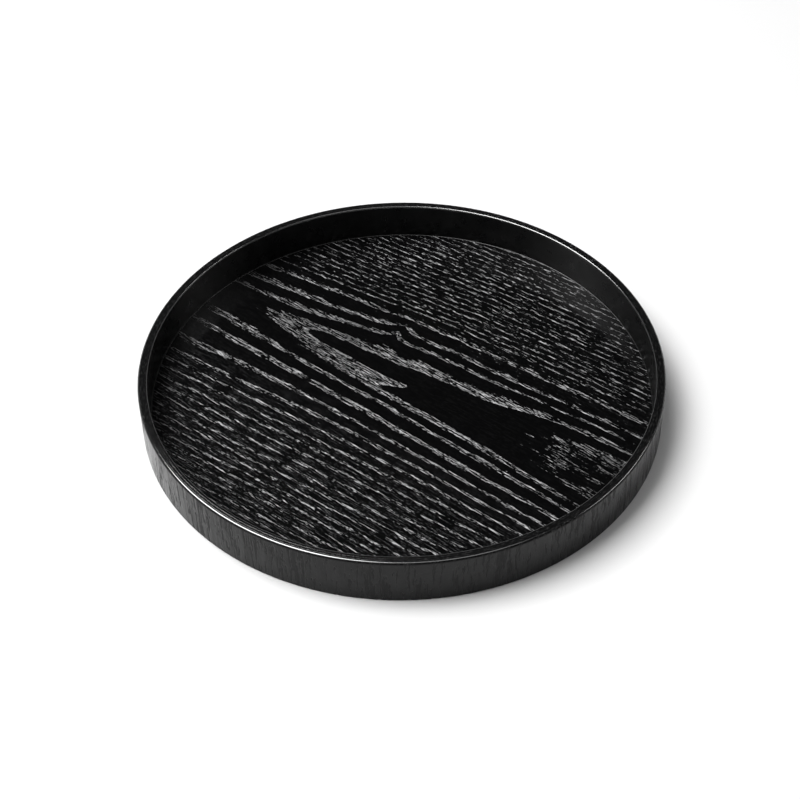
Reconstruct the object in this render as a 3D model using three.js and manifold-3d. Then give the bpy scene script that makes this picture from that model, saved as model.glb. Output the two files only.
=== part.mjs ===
// Round serving tray: a bent, laminated hoop with a veneered plywood floor let into its foot.
// Millimetres, +Z up, origin at the centre of the ring that the tray stands on.
import * as THREE from 'three';
import * as BufferGeometryUtils from 'three/addons/utils/BufferGeometryUtils.js';
import Module from 'manifold-3d';

const wasm = await Module();
wasm.setup();

// Overall size
const TRAY_DIAMETER = 300;
const TRAY_HEIGHT = 29;

// Layers of the hoop
const RIM_VENEER = 0.6;
const RIM_PLY = 1.3;

// Layers of the floor panel
const FLOOR_VENEER = 0.5;
const FLOOR_CROSSBAND = 1.1;
const FLOOR_CORE = 1.4;

// Fits
const GLUE_LINE = 0.1;
const FLOOR_RECESS = 1.6; // from the hoop's foot up to the back of the floor panel

// Rounded edges of the hoop
const OUTER_EDGE_RADIUS = 1.5;
const INNER_EDGE_RADIUS = 0.9;
const FOOT_EDGE_RADIUS = 0.6;

// Joints in the hoop's strips: a scarf is this many times as long as the strip is thick
const SCARF_RATIO = 8;
const BUTT_RATIO = 0;

// Smoothness of the solids
const SIDES = 96;
const EDGE_STEPS = 4;
const SAME_POINT = 0.001;

// Worked out from the sizes above
const OUTER_RADIUS = TRAY_DIAMETER / 2;
const FLOOR_THICKNESS = 2 * FLOOR_VENEER + 2 * FLOOR_CROSSBAND + FLOOR_CORE + 4 * GLUE_LINE;
const FLOOR_TOP = FLOOR_RECESS + FLOOR_THICKNESS;
const SHOULDER = FLOOR_TOP + GLUE_LINE; // foot of the narrow inner strips, which sit on the floor panel

const LACQUER = 0x111214;
const BARE_BIRCH = 0xc9a877;

// The five strips of the hoop, from the outside in. seam is where the strip's ends meet, in degrees.
const STRIPS = [
  { name: 'rim_outer_veneer', thickness: RIM_VENEER, foot: 0, scarf: BUTT_RATIO, seam: 97 },
  { name: 'rim_outer_ply', thickness: RIM_PLY, foot: 0, scarf: SCARF_RATIO, seam: 25 },
  { name: 'rim_middle_ply', thickness: RIM_PLY, foot: 0, scarf: SCARF_RATIO, seam: 145 },
  { name: 'rim_inner_ply', thickness: RIM_PLY, foot: SHOULDER, scarf: SCARF_RATIO, seam: 265 },
  { name: 'rim_inner_veneer', thickness: RIM_VENEER, foot: SHOULDER, scarf: BUTT_RATIO, seam: 277 },
];

// The five layers of the floor panel, from the back up
const LAYERS = [
  { name: 'floor_back_veneer', thickness: FLOOR_VENEER, color: LACQUER },
  { name: 'floor_lower_crossband', thickness: FLOOR_CROSSBAND, color: BARE_BIRCH },
  { name: 'floor_core_ply', thickness: FLOOR_CORE, color: BARE_BIRCH },
  { name: 'floor_upper_crossband', thickness: FLOOR_CROSSBAND, color: BARE_BIRCH },
  { name: 'floor_face_veneer', thickness: FLOOR_VENEER, color: LACQUER },
];

const rimThickness = STRIPS.reduce((sum, strip) => sum + strip.thickness, 0) + (STRIPS.length - 1) * GLUE_LINE;
const INNER_RADIUS = OUTER_RADIUS - rimThickness;

// Inner radius of the strips that reach the foot: the floor panel fits inside them
const wideStrips = STRIPS.filter((strip) => strip.foot === 0);
const wideThickness = wideStrips.reduce((sum, strip) => sum + strip.thickness + GLUE_LINE, 0) - GLUE_LINE;
const FLOOR_RADIUS = OUTER_RADIUS - wideThickness - GLUE_LINE;

function toManifold(geometry) {
  const bare = geometry.clone();
  bare.deleteAttribute('normal');
  bare.deleteAttribute('uv');
  const merged = BufferGeometryUtils.mergeVertices(bare);
  return new wasm.Manifold(new wasm.Mesh({
    numProp: 3,
    vertProperties: new Float32Array(merged.attributes.position.array),
    triVerts: new Uint32Array(merged.index.array),
  }));
}

function toGeometry(solid) {
  const mesh = solid.getMesh();
  const geometry = new THREE.BufferGeometry();
  geometry.setAttribute('position', new THREE.BufferAttribute(new Float32Array(mesh.vertProperties), 3));
  geometry.setIndex(new THREE.BufferAttribute(new Uint32Array(mesh.triVerts), 1));
  return geometry;
}

// How far a quarter-round edge has fallen away at a given distance into it
function edgeDrop(distance, radius) {
  const into = Math.min(Math.max(distance, 0), radius);
  return radius - Math.sqrt(radius * radius - into * into);
}

function rimTopAt(radius) {
  const intoOuterEdge = radius - (OUTER_RADIUS - OUTER_EDGE_RADIUS);
  const intoInnerEdge = INNER_RADIUS + INNER_EDGE_RADIUS - radius;
  return TRAY_HEIGHT - edgeDrop(intoOuterEdge, OUTER_EDGE_RADIUS) - edgeDrop(intoInnerEdge, INNER_EDGE_RADIUS);
}

function rimFootAt(radius) {
  return edgeDrop(radius - (OUTER_RADIUS - FOOT_EDGE_RADIUS), FOOT_EDGE_RADIUS);
}

// Radii at which a section of the hoop needs a point, between two radii and including both
function sectionRadii(low, high, edges) {
  const radii = [low, high];
  for (const { start, size } of edges) {
    for (let step = 0; step < EDGE_STEPS; step += 1) {
      radii.push(start + size * Math.sin((step / EDGE_STEPS) * (Math.PI / 2)));
    }
  }
  const inside = radii.filter((radius) => radius >= low && radius <= high).sort((a, b) => a - b);
  return inside.filter((radius, index) => index === 0 || radius - inside[index - 1] > SAME_POINT);
}

// Section of one strip, anticlockwise from its inner foot
function stripSection(innerRadius, outerRadius, foot) {
  const footEdges = [{ start: OUTER_RADIUS - FOOT_EDGE_RADIUS, size: FOOT_EDGE_RADIUS }];
  const topEdges = [
    { start: OUTER_RADIUS - OUTER_EDGE_RADIUS, size: OUTER_EDGE_RADIUS },
    { start: INNER_RADIUS + INNER_EDGE_RADIUS, size: -INNER_EDGE_RADIUS },
  ];
  const section = [];
  for (const radius of sectionRadii(innerRadius, outerRadius, footEdges)) {
    section.push(new THREE.Vector2(radius, foot + rimFootAt(radius)));
  }
  for (const radius of sectionRadii(innerRadius, outerRadius, topEdges).reverse()) {
    section.push(new THREE.Vector2(radius, rimTopAt(radius)));
  }
  section.push(section[0].clone());
  return section;
}

// Slot one glue line wide that parts a strip, square across it or slanting as a scarf
function seamSlot(innerRadius, outerRadius, scarf, seam) {
  const thickness = outerRadius - innerRadius;
  const middle = (innerRadius + outerRadius) / 2;
  const along = new THREE.Vector2(1, scarf).normalize();
  const across = new THREE.Vector2(-along.y, along.x).multiplyScalar(GLUE_LINE / 2);
  const reach = along.clone().multiplyScalar(thickness / along.x); // twice as far as the strip's own faces
  const center = new THREE.Vector2(middle, 0);
  const corners = [
    center.clone().sub(reach).sub(across),
    center.clone().add(reach).sub(across),
    center.clone().add(reach).add(across),
    center.clone().sub(reach).add(across),
  ];
  const geometry = new THREE.ExtrudeGeometry(new THREE.Shape(corners), {
    depth: TRAY_HEIGHT * 2,
    bevelEnabled: false,
  });
  geometry.translate(0, 0, -TRAY_HEIGHT / 2);
  geometry.rotateZ(THREE.MathUtils.degToRad(seam));
  return geometry;
}

function stripGeometry(innerRadius, outerRadius, strip) {
  const ring = new THREE.LatheGeometry(stripSection(innerRadius, outerRadius, strip.foot), SIDES);
  ring.rotateX(Math.PI / 2);
  const slot = seamSlot(innerRadius, outerRadius, strip.scarf, strip.seam);
  return toGeometry(toManifold(ring).subtract(toManifold(slot)));
}

function layerGeometry(thickness) {
  const outline = new THREE.Shape();
  outline.absarc(0, 0, FLOOR_RADIUS, 0, Math.PI * 2);
  return new THREE.ExtrudeGeometry(outline, { depth: thickness, bevelEnabled: false, curveSegments: SIDES / 2 });
}

function makeHoop() {
  const hoop = new THREE.Group();
  let outerRadius = OUTER_RADIUS;
  for (const strip of STRIPS) {
    const innerRadius = outerRadius - strip.thickness;
    const material = new THREE.MeshStandardMaterial({ color: LACQUER, roughness: 0.32, metalness: 0 });
    const mesh = new THREE.Mesh(stripGeometry(innerRadius, outerRadius, strip), material);
    mesh.name = strip.name;
    hoop.add(mesh);
    outerRadius = innerRadius - GLUE_LINE;
  }
  return hoop;
}

function makeFloor() {
  const floor = new THREE.Group();
  floor.position.z = FLOOR_RECESS;
  let bottom = 0;
  for (const layer of LAYERS) {
    const material = new THREE.MeshStandardMaterial({ color: layer.color, roughness: 0.45, metalness: 0 });
    const mesh = new THREE.Mesh(layerGeometry(layer.thickness), material);
    mesh.name = layer.name;
    mesh.position.z = bottom;
    floor.add(mesh);
    bottom += layer.thickness + GLUE_LINE;
  }
  return floor;
}

const tray = new THREE.Group();
tray.add(makeHoop(), makeFloor());

export default tray;
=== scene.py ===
"""Round serving tray in black open-pored lacquer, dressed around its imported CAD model.

Every strip of the bent hoop and every layer of the floor panel is a smooth mesh of its own that stands for
its CAD node. The grain, pores and lacquer are procedural.
"""
import math

import bpy
import numpy as np
from mathutils import Matrix, Vector


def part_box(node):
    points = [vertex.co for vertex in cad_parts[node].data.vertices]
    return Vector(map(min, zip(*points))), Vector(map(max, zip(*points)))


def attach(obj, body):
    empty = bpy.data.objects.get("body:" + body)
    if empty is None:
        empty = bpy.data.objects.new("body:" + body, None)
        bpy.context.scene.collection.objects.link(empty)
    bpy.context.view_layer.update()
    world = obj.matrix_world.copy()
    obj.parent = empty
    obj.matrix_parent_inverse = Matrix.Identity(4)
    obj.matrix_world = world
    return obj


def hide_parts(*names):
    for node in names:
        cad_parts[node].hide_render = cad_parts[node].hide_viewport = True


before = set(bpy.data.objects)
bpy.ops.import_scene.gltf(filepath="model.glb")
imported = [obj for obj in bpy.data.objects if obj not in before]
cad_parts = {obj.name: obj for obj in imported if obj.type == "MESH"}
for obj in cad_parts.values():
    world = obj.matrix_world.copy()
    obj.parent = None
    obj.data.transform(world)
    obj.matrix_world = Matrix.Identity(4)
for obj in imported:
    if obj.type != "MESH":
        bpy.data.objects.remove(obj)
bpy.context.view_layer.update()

MM = 0.001

# Shape of the pieces, in metres
GLUE_LINE = 0.1 * MM           # gap that the CAD model leaves between its layers
HAIRLINE = 0.02 * MM           # gap left between two layers here
OUTER_EDGE_RADIUS = 1.5 * MM
INNER_EDGE_RADIUS = 0.9 * MM
FOOT_EDGE_RADIUS = 0.6 * MM
GLUE_GROOVE_DEPTH = 0.02 * MM  # how far the lacquer sinks in along a glue line
GLUE_GROOVE_WIDTH = 0.14 * MM  # to each side of it
CORNER_BEAD = 0.45 * MM        # lacquer gathered where the wall meets the floor
STATIONS = 360                 # steps round a strip
RINGS = 24                     # rings across a layer of the floor panel
LAYER_EASE = 0.06 * MM         # rounding of a layer's edge
STAGE_GAP = 0.05 * MM          # from the studio floor up to the tray
STAGE_HALF = 0.85              # half the studio floor's side

# Places in the bake map, as shares of its side
UV_ROWS = 4                    # rows in which a strip is unrolled
UV_SIDE = 0.01
UV_FOOT = 0.02                 # the rest are shares of one row
UV_BAND = 0.9
UV_CAP = 0.93
UV_CAP_BAND = 0.05

# Floor grain, in millimetres on the floor: u runs along the grain, v across it
GRAIN_ANGLE = math.radians(-38.5)
PORE_TILT = math.radians(-1.5)  # the pores cross the ring lines at this small angle

# Camera
CAMERA_DISTANCE = 1.0034
CAMERA_ELEVATION = math.radians(43.578)
CAMERA_TARGET_HEIGHT = 13.5 * MM
CAMERA_LENS = 78.34
CAMERA_ROLL = math.radians(-0.81)
CAMERA_YAW = math.radians(-0.056)
CAMERA_PITCH = math.radians(-0.563)


# ---------------------------------------------------------------- sizes read from the frame

STRIPS = ["rim_outer_veneer", "rim_outer_ply", "rim_middle_ply", "rim_inner_ply", "rim_inner_veneer"]
LAYERS = [
    "floor_back_veneer",
    "floor_lower_crossband",
    "floor_core_ply",
    "floor_upper_crossband",
    "floor_face_veneer",
]

# Where each strip's ends meet, in degrees, and how many times its thickness the joint is long
SEAMS = {
    "rim_outer_veneer": (97, 0),
    "rim_outer_ply": (25, 8),
    "rim_middle_ply": (145, 8),
    "rim_inner_ply": (265, 8),
    "rim_inner_veneer": (277, 0),
}


def outer_radius(node):
    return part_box(node)[1][0]


TRAY_RADIUS = outer_radius("rim_outer_veneer")
RIM_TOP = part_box("rim_middle_ply")[1][2]
FLOOR_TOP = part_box("floor_face_veneer")[1][2]
VENEER = TRAY_RADIUS - outer_radius("rim_outer_ply") - GLUE_LINE
WALL_RADIUS = outer_radius("rim_inner_veneer") - VENEER


# ---------------------------------------------------------------- meshes

def new_object(name, vertices, faces, uvs, flat_faces=0):
    """A smooth mesh object with one UV pair for each corner of each face.

    Its last flat_faces faces are flat.
    """
    mesh = bpy.data.meshes.new(name)
    mesh.from_pydata([tuple(v) for v in vertices], [], faces)
    layer = mesh.uv_layers.new(name="OFBake")
    layer.data.foreach_set("uv", np.asarray(uvs, dtype=np.float32).ravel())
    mesh.shade_smooth()
    for polygon in mesh.polygons[len(faces) - flat_faces:]:
        polygon.use_smooth = False
    mesh.validate()
    piece = bpy.data.objects.new(name, mesh)
    bpy.context.scene.collection.objects.link(piece)
    weighted = piece.modifiers.new("weighted_normals", "WEIGHTED_NORMAL")
    weighted.weight = 100
    weighted.keep_sharp = True
    return piece


def edge_drop(distance, radius):
    """How far a quarter-round edge has fallen away at a distance into it."""
    into = min(max(distance, 0.0), radius)
    return radius - math.sqrt(radius * radius - into * into)


def rim_top_at(radius):
    outer = edge_drop(radius - (TRAY_RADIUS - OUTER_EDGE_RADIUS), OUTER_EDGE_RADIUS)
    inner = edge_drop(WALL_RADIUS + INNER_EDGE_RADIUS - radius, INNER_EDGE_RADIUS)
    return RIM_TOP - outer - inner


def groove(radius, low, high):
    """Depth of the dip in the lacquer beside a glue line, for a strip from low to high."""
    depth = 0.0
    for line, is_glue in ((low, low > WALL_RADIUS + HAIRLINE), (high, high < TRAY_RADIUS - HAIRLINE)):
        near = 1.0 - abs(radius - line) / GLUE_GROOVE_WIDTH
        if is_glue and near > 0.0:
            depth = max(depth, GLUE_GROOVE_DEPTH * near * near)
    return depth


def spread(low, high, count):
    """Values from low to high that crowd towards both ends."""
    return [low + (high - low) * (1 - math.cos(math.pi * i / count)) / 2 for i in range(count + 1)]


def strip_section(low, high, foot):
    """Section of a strip as (radius, height) points, anticlockwise from its inner foot."""
    is_lining = low < WALL_RADIUS + HAIRLINE
    is_skin = high > TRAY_RADIUS - HAIRLINE
    bead = CORNER_BEAD if is_lining else 0.0
    round_foot = FOOT_EDGE_RADIUS if is_skin else 0.0
    section = []
    if is_lining:
        for i in range(6):
            turn = i / 6 * math.pi / 2
            section.append((low - bead * (1 - math.sin(turn)), foot + bead * (1 - math.cos(turn))))
        section.reverse()
        inner_foot = section
    else:
        inner_foot = [(low, foot)]
    outer_foot = [(high, foot)]
    if is_skin:
        outer_foot = []
        for i in range(7):
            turn = i / 6 * math.pi / 2
            out = high - round_foot * (1 - math.sin(turn))
            outer_foot.append((out, foot + round_foot * (1 - math.cos(turn))))
    radii = set(spread(low, high, 18))
    if high > TRAY_RADIUS - OUTER_EDGE_RADIUS:
        radii |= {TRAY_RADIUS - OUTER_EDGE_RADIUS * (1 - math.sin(i / 16 * math.pi / 2)) for i in range(17)}
    if low < WALL_RADIUS + INNER_EDGE_RADIUS:
        radii |= {WALL_RADIUS + INNER_EDGE_RADIUS * (1 - math.sin(i / 12 * math.pi / 2)) for i in range(13)}
    top = []
    for radius in sorted((r for r in radii if low <= r <= high), reverse=True):
        if top and top[-1][0] - radius < 0.002 * MM:
            continue
        top.append((radius, rim_top_at(radius) - groove(radius, low, high)))
    outer_wall = [(high, outer_foot[-1][1] + (top[0][1] - outer_foot[-1][1]) * i / 6) for i in range(1, 6)]
    inner_end = inner_foot[0][1]
    inner_wall = [(low, top[-1][1] + (inner_end - top[-1][1]) * i / 6) for i in range(1, 6)]
    return inner_foot + outer_foot + outer_wall + top + inner_wall


def make_strip(name):
    """One bent strip of the hoop, open at its seam, its ends cut square or as a scarf."""
    index = STRIPS.index(name)
    slack = (GLUE_LINE - HAIRLINE) / 2  # how much each layer grows to close the glue line to a hairline
    high = outer_radius(name) + (slack if index > 0 else 0.0)
    if index + 1 < len(STRIPS):
        low = outer_radius(STRIPS[index + 1]) + GLUE_LINE - slack
    else:
        low = WALL_RADIUS
    foot = min(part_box(name)[0][2], FLOOR_TOP)
    section = strip_section(low, high, foot)
    seam, scarf = SEAMS[name]
    middle = (low + high) / 2
    gap = HAIRLINE * math.hypot(1, scarf) / middle
    count = len(section)
    vertices = []
    for station in range(STATIONS + 1):
        along = gap / 2 + (2 * math.pi - gap) * station / STATIONS
        for radius, height in section:
            angle = math.radians(seam) + along + (radius - middle) * scarf / middle
            vertices.append((radius * math.cos(angle), radius * math.sin(angle), height))
    lengths = [0.0]
    for i in range(count):
        a, b = section[i], section[(i + 1) % count]
        lengths.append(lengths[-1] + math.hypot(b[0] - a[0], b[1] - a[1]))
    share = [length / lengths[-1] for length in lengths]
    faces = []
    uvs = []
    per_row = STATIONS // UV_ROWS
    for station in range(STATIONS):
        row = station // per_row
        left = (station - row * per_row) / per_row * (1 - 2 * UV_SIDE) + UV_SIDE
        right = (station + 1 - row * per_row) / per_row * (1 - 2 * UV_SIDE) + UV_SIDE
        for i in range(count):
            j = (i + 1) % count
            here, there = station * count, (station + 1) * count
            faces.append((here + i, there + i, there + j, here + j))
            low_v = (row + UV_FOOT + UV_BAND * share[i]) / UV_ROWS
            high_v = (row + UV_FOOT + UV_BAND * share[i + 1]) / UV_ROWS
            uvs += [(left, low_v), (right, low_v), (right, high_v), (left, high_v)]
    cap = []
    for radius, height in section:
        up = (UV_CAP + UV_CAP_BAND * height / RIM_TOP) / UV_ROWS
        cap.append((UV_SIDE + 0.02 * (radius - low) / (high - low), up))
    faces.append(tuple(range(count)))
    uvs += cap
    faces.append(tuple(STATIONS * count + i for i in reversed(range(count))))
    uvs += [(u + 0.04, v) for u, v in reversed(cap)]
    return new_object(name, vertices, faces, uvs, flat_faces=2)


def make_layer(name):
    """One round layer of the floor panel."""
    low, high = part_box(name)[0][2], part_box(name)[1][2]
    radius = outer_radius(name)
    rings = [radius * i / RINGS for i in range(1, RINGS)] + [radius - LAYER_EASE]
    profile = [(r, high) for r in rings] + [(radius, high - LAYER_EASE), (radius, low + LAYER_EASE)]
    profile += [(r, low) for r in reversed(rings)]
    vertices = [(0, 0, high), (0, 0, low)]
    for r, z in profile:
        for station in range(STATIONS):
            angle = 2 * math.pi * station / STATIONS
            vertices.append((r * math.cos(angle), r * math.sin(angle), z))
    half = len(rings)

    def place(band, x, y):
        """Bake place of a point: the upper side fills the map, the lower side is small in its corner."""
        if band < half:
            return 0.5 + 0.49 * x / radius, 0.5 + 0.49 * y / radius
        return 0.07 + 0.06 * x / radius, 0.07 + 0.06 * y / radius

    faces = []
    uvs = []
    last_ring = 2 + (len(profile) - 1) * STATIONS
    for station in range(STATIONS):
        following = (station + 1) % STATIONS
        faces.append((0, 2 + station, 2 + following))
        faces.append((1, last_ring + following, last_ring + station))
    for face in faces:
        band = 0 if face[0] == 0 else half + 2
        uvs += [place(band, vertices[i][0], vertices[i][1]) for i in face]
    for band in range(len(profile) - 1):
        for station in range(STATIONS):
            following = (station + 1) % STATIONS
            here, there = 2 + band * STATIONS, 2 + (band + 1) * STATIONS
            face = (here + station, there + station, there + following, here + following)
            faces.append(face)
            if half - 1 <= band <= half + 1:
                left, right = 0.87 + 0.12 * station / STATIONS, 0.87 + 0.12 * (station + 1) / STATIONS
                bottom, top = 0.01 + 0.03 * (band - half + 1), 0.01 + 0.03 * (band - half + 2)
                uvs += [(left, bottom), (left, top), (right, top), (right, bottom)]
            else:
                uvs += [place(band, vertices[i][0], vertices[i][1]) for i in face]
    return new_object(name, vertices, faces, uvs)


# ---------------------------------------------------------------- materials

class Field:
    """A number that varies over a surface, worked out by math nodes in a material."""

    def __init__(self, tree, socket):
        self.tree = tree
        self.socket = socket

    def op(self, operation, *others):
        node = self.tree.nodes.new("ShaderNodeMath")
        node.operation = operation
        for number, value in enumerate((self, *others)):
            feed(self.tree, value, node.inputs[number])
        return Field(self.tree, node.outputs[0])

    def __add__(self, other):
        return self.op("ADD", other)

    def __sub__(self, other):
        return self.op("SUBTRACT", other)

    def __mul__(self, other):
        return self.op("MULTIPLY", other)

    def __truediv__(self, other):
        return self.op("DIVIDE", other)

    def __neg__(self):
        return self * -1.0

    def __rsub__(self, other):
        return -self + other

    __radd__ = __add__
    __rmul__ = __mul__

    def at_least(self, other):
        return self.op("MAXIMUM", other)

    def at_most(self, other):
        return self.op("MINIMUM", other)

    def power(self, exponent):
        return self.op("POWER", exponent)

    def fraction(self):
        return self.op("FRACT")

    def bell(self, center, width):
        """1 at center, falling off as a Gaussian."""
        away = (self - center) / width
        return (away * away * -1.0).op("EXPONENT")

    def ramp(self, start, end, low=0.0, high=1.0):
        """Eases from low to high as the field goes from start to end."""
        node = self.tree.nodes.new("ShaderNodeMapRange")
        node.interpolation_type = "SMOOTHSTEP"
        feed(self.tree, self, node.inputs["Value"])
        for key, value in (("From Min", start), ("From Max", end), ("To Min", low), ("To Max", high)):
            feed(self.tree, value, node.inputs[key])
        return Field(self.tree, node.outputs["Result"])


def feed(tree, value, socket):
    if isinstance(value, Field):
        tree.links.new(value.socket, socket)
    else:
        socket.default_value = value


def noise(tree, x, y, z=0.0, detail=2.0, roughness=0.5):
    """Noise about 0.5, of the given coordinates, one unit to a wave."""
    join = tree.nodes.new("ShaderNodeCombineXYZ")
    for value, socket in zip((x, y, z), join.inputs):
        feed(tree, value, socket)
    texture = tree.nodes.new("ShaderNodeTexNoise")
    texture.noise_dimensions = "3D"
    texture.inputs["Scale"].default_value = 1.0
    texture.inputs["Detail"].default_value = detail
    texture.inputs["Roughness"].default_value = roughness
    tree.links.new(join.outputs[0], texture.inputs["Vector"])
    return Field(tree, texture.outputs[0])


def surface_position(tree):
    """The point on the surface in millimetres, as three fields."""
    coordinates = tree.nodes.new("ShaderNodeTexCoord")
    split = tree.nodes.new("ShaderNodeSeparateXYZ")
    tree.links.new(coordinates.outputs["Object"], split.inputs[0])
    return [Field(tree, output) * (1 / MM) for output in split.outputs]


def new_material(name):
    material = bpy.data.materials.new(name)
    material.use_nodes = True
    tree = material.node_tree
    return material, tree, tree.nodes["Principled BSDF"]


def color_between(tree, share, first, second):
    mix = tree.nodes.new("ShaderNodeMix")
    mix.data_type = "RGBA"
    feed(tree, share, mix.inputs["Factor"])
    mix.inputs["A"].default_value = (*first, 1)
    mix.inputs["B"].default_value = (*second, 1)
    return mix.outputs["Result"]


def relief(tree, height, depth):
    """Bump from a height field of 0 to 1, depth metres deep."""
    bump = tree.nodes.new("ShaderNodeBump")
    bump.inputs["Strength"].default_value = 1.0
    bump.inputs["Distance"].default_value = depth
    tree.links.new(height.socket, bump.inputs["Height"])
    return bump.outputs["Normal"]


BLACK = (0.0010, 0.0010, 0.0011)
PORE_GREY = (0.54, 0.54, 0.547)
COAT_ROUGHNESS = 0.08


def half_bend(distance, size):
    """Zero well below zero distance, the distance itself well above it, with a bend of that size."""
    return ((distance * distance + size * size).power(0.5) + distance) / 2.0


def ring_number(tree, u, v):
    """Growth rings of a flat-sawn sheet: a whole number at each ring's first pores.

    The rings lie either side of a ridge that runs along the grain, wide near it and closer further out.
    They close over it where the ridge itself passes from one ring to the next.
    """
    slow = noise(tree, u / 70.0, v / 22.0, 3.7, detail=1.0) - 0.5
    quick = noise(tree, u / 14.0, v / 9.0, 8.1, detail=2.0) - 0.5
    ragged = noise(tree, u / 4.0, v / 1.3, 1.9, detail=1.0) - 0.5
    frayed = noise(tree, u / 13.0, v / 0.8, 4.4, detail=1.0) - 0.5
    left_slope = v.ramp(-5.0, 22.0, 0.0, 0.12).at_least(v.ramp(-25.0, -55.0, 0.0, 0.075))
    right_slope = v.ramp(-5.0, 25.0, -0.025, 0.06).at_least(v.ramp(-20.0, -60.0, -0.025, 0.035))
    lean = u.at_most(0.0) * left_slope + u.at_least(0.0) * right_slope
    lift = u.ramp(40.0, 95.0) * v.bell(25.0, 12.0) * 10.0 + u.ramp(-20.0, -110.0) * v.bell(2.0, 9.0) * 8.0
    w = v - lean - lift + slow * 3.5 + quick * 2.1 + ragged * 1.3 + frayed * 1.5
    above = half_bend(w - 19.0, 6.0) * 0.0845 + (w - 62.0).at_least(0.0) * 0.15
    above = above - w.bell(33.0, 7.0) * u.ramp(-100.0, -35.0) * 0.5
    t = -5.0 - w
    past_bend = t.at_least(0.0)
    below = half_bend(t, 6.0) * 0.087 + past_bend * past_bend * 0.0005 + w.bell(-18.0, 9.0) * 0.33
    ridge = u * -0.0025 - 0.42 + u.ramp(-60.0, -115.0) * 0.5 - u.ramp(76.0, 130.0) * 0.25
    near_tip = ((u - 3.0) / 10.0).at_most(0.0).op("EXPONENT")
    tongue_across = (v - near_tip * 5.5 - 1.0) / (5.0 - near_tip * 2.5)
    tongue = tongue_across.bell(0.0, 1.0) * u.ramp(5.0, -2.0) * u.ramp(-95.0, -40.0) * 0.38
    past_kink = u + 33.0
    near_kink = (past_kink.at_most(0.0) / 9.0 - past_kink.at_least(0.0) / 5.0).op("EXPONENT")
    kink = near_kink * v.bell(40.0, 10.0) * -0.85
    return above + below + ridge * w.bell(7.0, 20.0) + tongue + kink


def floor_material():
    """Flat-sawn veneer of the serving floor, with pale open pores at the start of each ring."""
    material, tree, shader = new_material("open_pored_floor_lacquer")
    x, y, z = surface_position(tree)
    cosine, sine = math.cos(GRAIN_ANGLE), math.sin(GRAIN_ANGLE)
    u = x * cosine + y * sine
    v = y * cosine - x * sine
    into_ring = ring_number(tree, u, v).fraction()
    swell = noise(tree, u / 12.0, v / 3.0, 6.0, detail=1.0) - 0.5
    reach = v.bell(8.0, 32.0) * 0.19 + 0.26 + swell * 0.3
    first_row = into_ring.bell(0.06, 0.055)
    second_row = ((into_ring - reach * 0.85) / 0.06).bell(0.0, 1.0) * 0.8
    between = into_ring.ramp(0.0, 0.04) * (reach - into_ring).ramp(-0.08, 0.04) * 0.78
    patches = noise(tree, u / 30.0, v / 6.0, 4.0, detail=1.0).ramp(0.6, 0.4, 0.2, 0.8)
    sparse = u.ramp(75.0, 95.0) * v.bell(9.0, 13.0) * patches
    early = first_row.at_least(second_row).at_least(between) * (1.0 - sparse)
    scattered = v.ramp(25.0, 70.0, 0.0, 0.42).at_least(v.ramp(-20.0, -70.0, 0.0, 0.36))
    outer = v.ramp(25.0, 60.0).at_least(v.ramp(-20.0, -70.0))
    gaps = noise(tree, u / 5.0, v / 1.5, 15.0, detail=1.0).ramp(0.5, 0.64) * outer * 0.22
    early = (early * (1.0 - gaps)).at_least(scattered)
    along = u * math.cos(PORE_TILT) + v * math.sin(PORE_TILT)
    across = v * math.cos(PORE_TILT) - u * math.sin(PORE_TILT)
    strands = noise(tree, along / 11.0, across / 0.78, 0.0, detail=1.0, roughness=0.4)
    specks = noise(tree, along / 2.4, across / 0.55, 7.0, detail=1.0)
    strokes = strands * 0.55 + specks * 0.45
    level = 0.745 - early * 0.34
    pores = (strokes - level).ramp(0.0, 0.12)
    tone = noise(tree, u / 9.0, v / 1.4, 11.0, detail=1.0).ramp(0.35, 0.62, 0.45, 1.0)
    # Painted highlight: a faint grey laid over half the pores' strokes, strongest at the front-left of the
    # floor, weaker at the back-right and slight elsewhere, standing in for the lamp's gloss haze on the
    # lacquer
    painted_haze_strength = v.ramp(40.0, 75.0, 0.004, 0.012).at_least(v.ramp(-20.0, -80.0, 0.004, 0.045))
    painted_haze_grey = (strokes - 0.5).ramp(0.0, 0.12) * painted_haze_strength
    threads = noise(tree, along / 6.0, across / 0.42, 13.0, detail=2.0).ramp(0.4, 0.6, 0.15, 1.0)
    filled = v.bell(12.0, 30.0) * u.ramp(15.0, -60.0, 0.0, 0.45).at_least(u.ramp(70.0, 110.0, 0.0, 0.42))
    # Painted shade: the pale pores are dimmed in a ring just inside the wall, deeply on the left side and
    # less on the right, standing in for the shadow the wall casts on the floor
    from_middle = (x * x + y * y).power(0.5)
    wall_shade_by_side = x.ramp(30.0, -80.0, 0.0, 0.8).at_least(x.ramp(70.0, 125.0, 0.0, 0.4))
    painted_wall_shade = from_middle.ramp(112.0, 139.0) * wall_shade_by_side
    share = pores * tone * threads * (1.0 - filled) * (1.0 - painted_wall_shade)
    color = color_between(tree, share.at_least(painted_haze_grey), BLACK, PORE_GREY)
    tree.links.new(color, shader.inputs["Base Color"])
    rough = pores.ramp(0.0, 1.0, 0.18, 0.6)
    tree.links.new(rough.socket, shader.inputs["Roughness"])
    tree.links.new(relief(tree, 1.0 - pores, 0.05 * MM), shader.inputs["Normal"])
    shader.inputs["IOR"].default_value = 1.4
    return material


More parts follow.
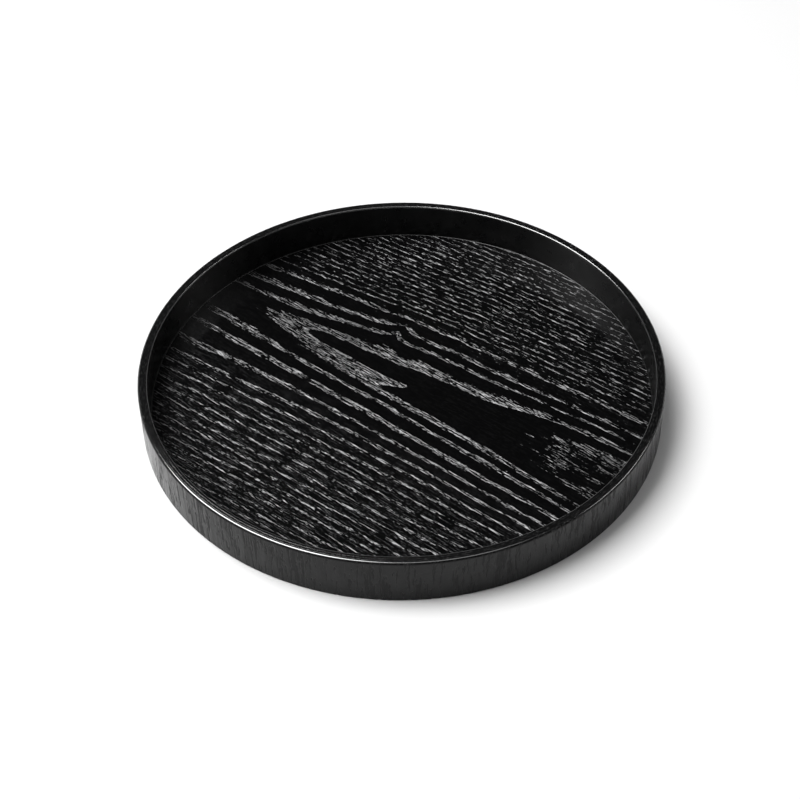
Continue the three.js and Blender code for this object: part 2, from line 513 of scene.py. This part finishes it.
def wall_material():
    """Upright-grained veneer of the outer wall, with wavering open pores."""
    material, tree, shader = new_material("upright_grained_rim_lacquer")
    x, y, z = surface_position(tree)
    sway = (noise(tree, x / 4.0, y / 4.0, z / 5.0, detail=1.0) - 0.5) * 1.6
    strokes = noise(tree, (x + sway) / 1.5, (y + sway) / 1.5, z / 18.0, detail=2.0, roughness=0.5)
    bands = noise(tree, x / 8.0, y / 8.0, z / 50.0, detail=2.0) - 0.5
    level = 0.55 - bands * 0.45
    pores = (strokes - level).ramp(0.0, 0.07)
    fibers = noise(tree, (x + sway) / 1.6 + 40.0, (y + sway) / 1.6, z / 25.0, detail=3.0)
    color = color_between(tree, fibers.ramp(0.3, 0.75), BLACK, (0.006, 0.006, 0.0063))
    tree.links.new(color, shader.inputs["Base Color"])
    rough = pores.ramp(0.0, 1.0, 0.2, 0.5) + (fibers - 0.5) * 0.12
    tree.links.new(rough.socket, shader.inputs["Roughness"])
    waves = noise(tree, (x + sway) / 4.2, (y + sway) / 4.2 + 20.0, z / 24.0, detail=2.0)
    height = waves * 2.4 + fibers * 0.4 + 1.0 - pores * 0.7
    tree.links.new(relief(tree, height, 0.2 * MM), shader.inputs["Normal"])
    shader.inputs["IOR"].default_value = 1.3
    return material


def lining_material():
    """Filled black lacquer, a little uneven from rubbing down, polished on the rim's rounded edge."""
    material, tree, shader = new_material("smooth_lining_lacquer")
    x, y, z = surface_position(tree)
    wave = noise(tree, x / 6.0, y / 6.0, z / 6.0, detail=2.0)
    fine = noise(tree, x / 0.8, y / 0.8, z / 0.8, detail=2.0)
    color = color_between(tree, fine.ramp(0.3, 0.8), BLACK, (0.003, 0.003, 0.0031))
    tree.links.new(color, shader.inputs["Base Color"])
    tree.links.new(wave.ramp(0.25, 0.75, 0.26, 0.36).socket, shader.inputs["Roughness"])
    tree.links.new(relief(tree, wave * 0.7 + fine * 0.3, 0.01 * MM), shader.inputs["Normal"])
    on_edge = z.ramp(RIM_TOP / MM - 1.5, RIM_TOP / MM - 0.8)
    tree.links.new(on_edge.socket, shader.inputs["Coat Weight"])
    shader.inputs["Coat Roughness"].default_value = COAT_ROUGHNESS
    shader.inputs["Coat IOR"].default_value = 2.0
    return material


def back_material():
    """Plain straight-grained veneer under matt lacquer, on the back of the floor panel."""
    material, tree, shader = new_material("matt_back_lacquer")
    x, y, z = surface_position(tree)
    bend = (noise(tree, x / 60.0, y / 25.0, 1.0, detail=1.0) - 0.5) * 8.0
    rows = noise(tree, x / 160.0, (y + bend) / 3.2, 2.0, detail=1.0).ramp(0.45, 0.6)
    strands = noise(tree, x / 13.0, (y + bend) / 0.8, 5.0, detail=2.0)
    pores = (strands - 0.66 + rows * 0.1).ramp(0.0, 0.1)
    color = color_between(tree, pores, BLACK, (0.05, 0.05, 0.051))
    tree.links.new(color, shader.inputs["Base Color"])
    tree.links.new(pores.ramp(0.0, 1.0, 0.42, 0.65).socket, shader.inputs["Roughness"])
    tree.links.new(relief(tree, 1.0 - pores, 0.06 * MM), shader.inputs["Normal"])
    return material


def edge_material():
    """The plies' edges along the top of the rim, end grain and long grain showing through the lacquer."""
    material, tree, shader = new_material("rim_edge_lacquer")
    x, y, z = surface_position(tree)
    radius = (x * x + y * y).power(0.5)
    turned = x.op("ARCTAN2", -y) * (TRAY_RADIUS / MM)
    mottle = noise(tree, radius / 0.9, turned / 2.6, 3.0, detail=3.0, roughness=0.6)
    fine = noise(tree, radius / 0.35, turned / 0.9, 9.0, detail=1.0)
    pits = (mottle * 0.6 + fine * 0.4 - 0.55).ramp(0.0, 0.08)
    share = mottle.ramp(0.45, 0.75) * 0.5 + pits * 0.5
    color = color_between(tree, share, BLACK, (0.024, 0.024, 0.0243))
    tree.links.new(color, shader.inputs["Base Color"])
    rough = pits.ramp(0.0, 1.0, 0.16, 0.25) + (mottle - 0.5) * 0.08
    tree.links.new(rough.socket, shader.inputs["Roughness"])
    tree.links.new(relief(tree, mottle * 0.4 + 1.0 - pits * 0.6, 0.01 * MM), shader.inputs["Normal"])
    shader.inputs["IOR"].default_value = 1.8
    shader.inputs["Coat IOR"].default_value = 1.6
    shader.inputs["Coat Weight"].default_value = 1.0
    shader.inputs["Coat Roughness"].default_value = COAT_ROUGHNESS
    return material


def bare_ply_material():
    """Unlacquered birch, inside the floor panel."""
    material, tree, shader = new_material("bare_birch_ply")
    x, y, z = surface_position(tree)
    grain = noise(tree, x / 18.0, y / 1.2, z / 4.0, detail=4.0, roughness=0.6)
    flecks = noise(tree, x / 3.0, y / 0.35, 2.0, detail=1.0).ramp(0.62, 0.7)
    share = grain.ramp(0.3, 0.7) * 0.8 + flecks * 0.2
    color = color_between(tree, share, (0.62, 0.46, 0.28), (0.45, 0.30, 0.16))
    tree.links.new(color, shader.inputs["Base Color"])
    tree.links.new(grain.ramp(0.2, 0.8, 0.6, 0.8).socket, shader.inputs["Roughness"])
    tree.links.new(relief(tree, grain, 0.05 * MM), shader.inputs["Normal"])
    return material


# ---------------------------------------------------------------- the tray

floor_lacquer = floor_material()
wall_lacquer = wall_material()
lining_lacquer = lining_material()
edge_lacquer = edge_material()
back_lacquer = back_material()
bare_ply = bare_ply_material()

LOOKS = {
    "rim_outer_veneer": (wall_lacquer, "lacquered_rim_veneer"),
    "rim_outer_ply": (edge_lacquer, "lacquered_ply_edge"),
    "rim_middle_ply": (edge_lacquer, "lacquered_ply_edge"),
    "rim_inner_ply": (edge_lacquer, "lacquered_ply_edge"),
    "rim_inner_veneer": (lining_lacquer, "lacquered_rim_lining"),
    "floor_back_veneer": (back_lacquer, "lacquered_back_veneer"),
    "floor_lower_crossband": (bare_ply, "bare_ply"),
    "floor_core_ply": (bare_ply, "bare_ply"),
    "floor_upper_crossband": (bare_ply, "bare_ply"),
    "floor_face_veneer": (floor_lacquer, "lacquered_floor_veneer"),
}

for node in STRIPS + LAYERS:
    piece = make_strip(node) if node in STRIPS else make_layer(node)
    piece.name = "visual_" + node
    look, slot_name = LOOKS[node]
    piece.data.materials.append(look)
    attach(piece, "root")
    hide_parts(node)


# ---------------------------------------------------------------- floor, light and camera

def make_stage():
    mesh = bpy.data.meshes.new("studio_floor")
    half = STAGE_HALF
    corners = [(-half, -half, 0), (half, -half, 0), (half, half, 0), (-half, half, 0)]
    mesh.from_pydata(corners, [], [(0, 1, 2, 3)])
    stage = bpy.data.objects.new("studio_floor", mesh)
    stage.location.z = -STAGE_GAP
    bpy.context.scene.collection.objects.link(stage)
    material, tree, shader = new_material("pale_paper")
    shader.inputs["Base Color"].default_value = (0.68, 0.68, 0.68, 1)
    shader.inputs["Roughness"].default_value = 0.9
    shader.inputs["Specular IOR Level"].default_value = 0.0
    stage.data.materials.append(material)


def make_softbox(name, start, end, width, radiance):
    """A flat rectangular light from start to end that faces the tray and looks radiance bright."""
    start, end = Vector(start), Vector(end)
    middle = (start + end) / 2
    back = middle.normalized()
    length = (end - start).length
    along = (end - start - back * (end - start).dot(back)).normalized()
    light = bpy.data.lights.new(name, "AREA")
    light.shape = "RECTANGLE"
    light.size = length
    light.size_y = width
    light.energy = radiance * math.pi * length * width
    lamp = bpy.data.objects.new(name, light)
    axes = Matrix((along, back.cross(along), back)).transposed().to_4x4()
    lamp.matrix_world = Matrix.Translation(middle) @ axes
    bpy.context.scene.collection.objects.link(lamp)


def make_lights():
    make_softbox("key_panel", (-0.475, -0.32, 2.19), (-1.465, 0.62, 1.59), 1.5, 12.0)
    make_softbox("top_fill", (-0.6, -0.1, 2.2), (0.8, -0.1, 2.2), 1.1, 1.3)
    make_softbox("right_strip", (1.6, -0.1, 1.9), (1.7, 1.0, 1.6), 0.22, 9.0)
    make_world()


def make_world():
    """A pale surround up to just above the horizon and a dark ceiling over it."""
    world = bpy.data.worlds.new("studio")
    world.use_nodes = True
    tree = world.node_tree
    coordinates = tree.nodes.new("ShaderNodeTexCoord")
    split = tree.nodes.new("ShaderNodeSeparateXYZ")
    tree.links.new(coordinates.outputs["Generated"], split.inputs[0])
    share = Field(tree, split.outputs[2]).ramp(0.1, 0.3)
    color = color_between(tree, share, (0.85, 0.85, 0.85), (0.015, 0.015, 0.015))
    tree.links.new(color, tree.nodes["Background"].inputs["Color"])
    bpy.context.scene.world = world


def make_camera():
    away = Vector((0, -math.cos(CAMERA_ELEVATION), math.sin(CAMERA_ELEVATION)))
    right = Vector((1, 0, 0))
    up = right.cross(-away)
    rolled_right = right * math.cos(CAMERA_ROLL) + up * math.sin(CAMERA_ROLL)
    rolled_up = up * math.cos(CAMERA_ROLL) - right * math.sin(CAMERA_ROLL)
    aim = -away * math.cos(CAMERA_YAW) * math.cos(CAMERA_PITCH)
    aim += rolled_right * math.sin(CAMERA_YAW) * math.cos(CAMERA_PITCH) + rolled_up * math.sin(CAMERA_PITCH)
    side = aim.cross(rolled_up).normalized()
    top = side.cross(aim)
    camera = bpy.data.objects.new("camera", bpy.data.cameras.new("camera"))
    camera.data.lens = CAMERA_LENS
    camera.data.sensor_width = 36.0
    axes = Matrix((side, top, -aim)).transposed().to_4x4()
    position = Vector((0, 0, CAMERA_TARGET_HEIGHT)) + away * CAMERA_DISTANCE
    camera.matrix_world = Matrix.Translation(position) @ axes
    bpy.context.scene.collection.objects.link(camera)
    bpy.context.scene.camera = camera


make_stage()
make_lights()
make_camera()
bpy.context.scene.view_settings.view_transform = "Standard"
